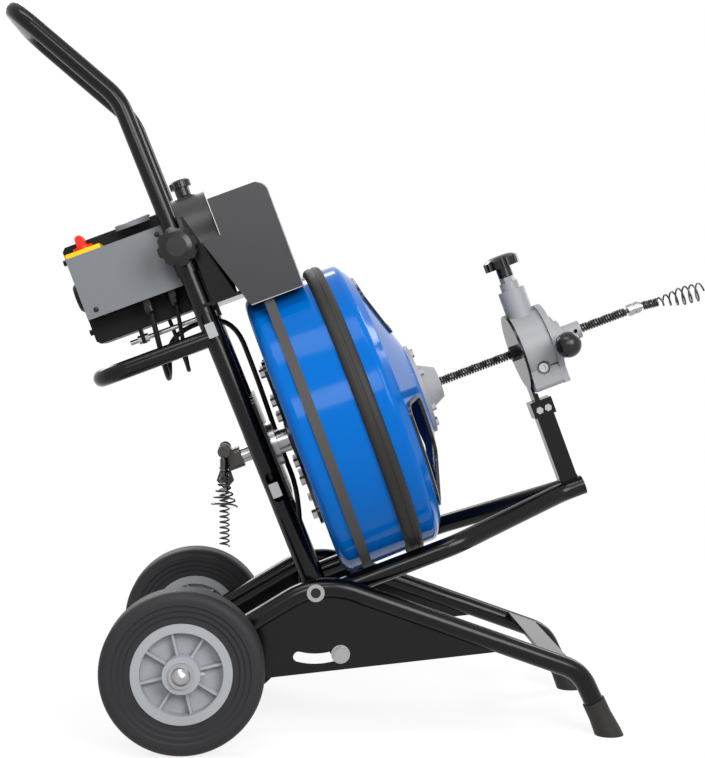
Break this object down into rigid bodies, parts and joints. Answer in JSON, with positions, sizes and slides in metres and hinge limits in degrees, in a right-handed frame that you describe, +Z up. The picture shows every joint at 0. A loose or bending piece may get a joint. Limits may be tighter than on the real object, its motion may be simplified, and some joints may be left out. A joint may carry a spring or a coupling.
{
  "type": "drain cleaning machine",
  "caption": "Wheeled drum machine for cleaning drains: belt-driven cable drum and motor on a tilting tube frame, feed head on a post, sliding handle.",
  "frame": {"origin": "on the floor under the middle of the machine", "axes": "+X the way the cable leaves the feed head, +Y to the machine's left, +Z up"},
  "size_m": [1.1597, 0.5328, 1.1753],
  "materials": {
    "black_paint": "gloss",
    "foot_rubber": "matte",
    "lead_rubber": "satin",
    "tyre_rubber": "matte",
    "belt_rubber": "matte",
    "hub_grey": "satin",
    "bright_steel": "satin",
    "cable_steel": "satin",
    "motor_black": "satin",
    "guard_grey": "satin",
    "box_black": "satin",
    "cover_grey": "satin",
    "switch_yellow": "gloss",
    "switch_red": "gloss",
    "black_plastic": "gloss",
    "drum_blue": "gloss",
    "cast_aluminium": "satin"
  },
  "bodies": {
    "base": {"base_tubes": "black_paint", "base_plates": "black_paint", "foot_caps": "foot_rubber", "axle": "bright_steel", "pivot_rod": "bright_steel", "power_lead": "lead_rubber", "plug": "black_plastic"},
    "wheel_right": {"tyre_right": "tyre_rubber", "hub_right": "hub_grey"},
    "wheel_left": {"tyre_left": "tyre_rubber", "hub_left": "hub_grey"},
    "frame": {"uprights": "black_paint", "handle_collars": "black_paint", "arms": "black_paint", "frame_fasteners": "bright_steel", "lower_handle": "black_paint", "spindle_plate": "black_paint", "spindle": "bright_steel", "motor_housing": "motor_black", "motor_saddle": "guard_grey", "motor_bracket": "black_paint", "control_box": "box_black", "control_cover": "cover_grey", "switch_plate": "switch_yellow", "cable_glands": "black_plastic", "drive_belt": "belt_rubber", "belt_guard": "guard_grey", "guide_post": "black_paint", "feed_back_plate": "black_paint", "feed_body": "cast_aluminium", "feed_cover": "cast_aluminium", "tool_holder": "cable_steel", "straight_auger": "cable_steel", "funnel_auger": "cable_steel", "frame_leads": "lead_rubber"},
    "handle": {"handle_tube": "black_paint"},
    "handle_knob_right": {"handle_knob_right": "black_plastic"},
    "handle_knob_left": {"handle_knob_left": "black_plastic"},
    "drum": {"drum_rear_shell": "drum_blue", "drum_front_shell": "drum_blue", "window_trims": "black_plastic", "drum_bumper": "foot_rubber", "drum_nose": "cast_aluminium", "rear_spider": "black_paint", "drum_bolts": "bright_steel", "cable_winding": "cable_steel", "cable_core": "cable_steel", "cable_coil_rear": "cable_steel", "cable_coil_front": "cable_steel", "cable_coupling": "bright_steel", "end_auger": "cable_steel"},
    "pulley": {"motor_pulley": "bright_steel"},
    "belt_tension_knob": {"belt_tension_knob": "black_plastic"},
    "switch": {"switch_knob": "switch_red"},
    "feed_knob": {"feed_knob": "black_plastic"},
    "feed_lever": {"feed_lever": "cast_aluminium", "lever_ball": "black_plastic"},
    "feed_roller_top": {"feed_roller_top": "bright_steel"},
    "feed_roller_right": {"feed_roller_right": "bright_steel"},
    "feed_roller_left": {"feed_roller_left": "bright_steel"}
  },
  "joints": [
    {"name": "wheel_right_spin", "type": "hinge", "parent": "base", "child": "wheel_right", "pos_m": [-0.2934, -0.215, 0.127], "axis": [0, 1, 0], "continuous": true},
    {"name": "wheel_left_spin", "type": "hinge", "parent": "base", "child": "wheel_left", "pos_m": [-0.2934, 0.215, 0.127], "axis": [0, 1, 0], "continuous": true},
    {"name": "frame_tilt", "type": "hinge", "parent": "base", "child": "frame", "pos_m": [-0.0864, 0, 0.237], "axis": [0, 1, 0], "range_deg": [0, 30]},
    {"name": "handle_slide", "type": "slide", "parent": "frame", "child": "handle", "axis": [-0.3681, 0, 0.9298], "range_m": [-0.2, 0]},
    {"name": "handle_knob_right_turn", "type": "hinge", "parent": "frame", "child": "handle_knob_right", "pos_m": [-0.30175, -0.15, 0.78092], "axis": [0, -1, 0], "range_deg": [0, 360]},
    {"name": "handle_knob_left_turn", "type": "hinge", "parent": "frame", "child": "handle_knob_left", "pos_m": [-0.30175, 0.15, 0.78092], "axis": [0, 1, 0], "range_deg": [0, 360]},
    {"name": "drum_spin", "type": "hinge", "parent": "frame", "child": "drum", "pos_m": [-0.1184, 0, 0.472], "axis": [0.9373, 0, 0.3486], "continuous": true},
    {"name": "pulley_spin", "type": "hinge", "parent": "frame", "child": "pulley", "pos_m": [-0.19884, 0, 0.8059], "axis": [0.9373, 0, 0.3486], "continuous": true},
    {"name": "belt_tension_turn", "type": "hinge", "parent": "frame", "child": "belt_tension_knob", "pos_m": [-0.30512, 0, 0.88801], "axis": [-0.3486, 0, 0.9373], "range_deg": [0, 360]},
    {"name": "switch_turn", "type": "hinge", "parent": "frame", "child": "switch", "pos_m": [-0.45908, -0.064, 0.78274], "axis": [-0.3486, 0, 0.9373], "range_deg": [-60, 60]},
    {"name": "feed_knob_turn", "type": "hinge", "parent": "frame", "child": "feed_knob", "pos_m": [0.23771, 0, 0.7538], "axis": [-0.3486, 0, 0.9373], "range_deg": [-360, 360]},
    {"name": "feed_lever_swing", "type": "hinge", "parent": "frame", "child": "feed_lever", "pos_m": [0.33149, 0, 0.63931], "axis": [0.9373, 0, 0.3486], "range_deg": [-30, 30]},
    {"name": "feed_roller_top_spin", "type": "hinge", "parent": "frame", "child": "feed_roller_top", "pos_m": [0.28031, 0, 0.63996], "axis": [0.9373, 0, 0.3486], "continuous": true},
    {"name": "feed_roller_right_spin", "type": "hinge", "parent": "frame", "child": "feed_roller_right", "pos_m": [0.28996, -0.01598, 0.61402], "axis": [0.9373, 0, 0.3486], "continuous": true},
    {"name": "feed_roller_left_spin", "type": "hinge", "parent": "frame", "child": "feed_roller_left", "pos_m": [0.28996, 0.01598, 0.61402], "axis": [0.9373, 0, 0.3486], "continuous": true}
  ],
  "couplings": [
    {"joint": "pulley_spin", "follows": "drum_spin", "ratio": 7.8254}
  ]
}
